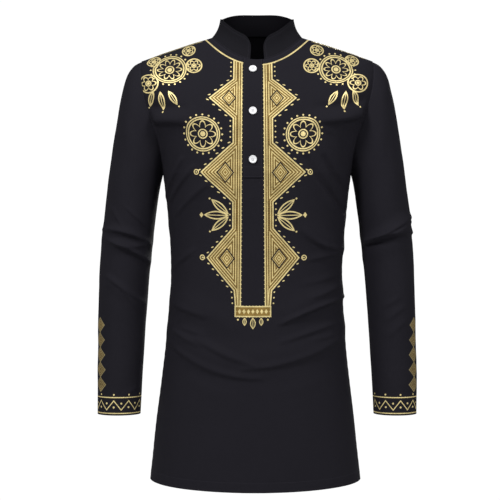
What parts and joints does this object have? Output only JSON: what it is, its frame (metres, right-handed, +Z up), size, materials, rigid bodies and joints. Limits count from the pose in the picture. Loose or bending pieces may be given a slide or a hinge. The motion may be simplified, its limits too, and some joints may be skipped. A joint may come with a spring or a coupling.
{
  "type": "dashiki shirt",
  "caption": "Long black dashiki shirt with long sleeves, a stand collar, a buttoned half placket and gold printed ornament, filled out as worn.",
  "frame": {"origin": "midway between the two side neck points, where the shoulder seams meet the collar and the wearer's shoulders carry the shirt", "axes": "+Z up along the body from hem to collar, +Y from the front to the back, +X towards the wearer's left sleeve"},
  "size_m": [0.5958, 0.2558, 0.8855],
  "materials": {
    "shirt_cloth": "smooth black plain weave with a soft satin bloom and a gold foil print",
    "placket_cloth": "the same black plain weave, pressed flat and left unprinted",
    "white_button": "glossy white with a faint pearl"
  },
  "bodies": {
    "root": {"front": "shirt_cloth", "back": "shirt_cloth", "sleeve_left": "shirt_cloth", "sleeve_right": "shirt_cloth", "collar": "shirt_cloth", "placket_over": "placket_cloth", "placket_under": "placket_cloth", "button_1": "white_button", "button_2": "white_button", "button_3": "white_button"}
  },
  "joints": []
}
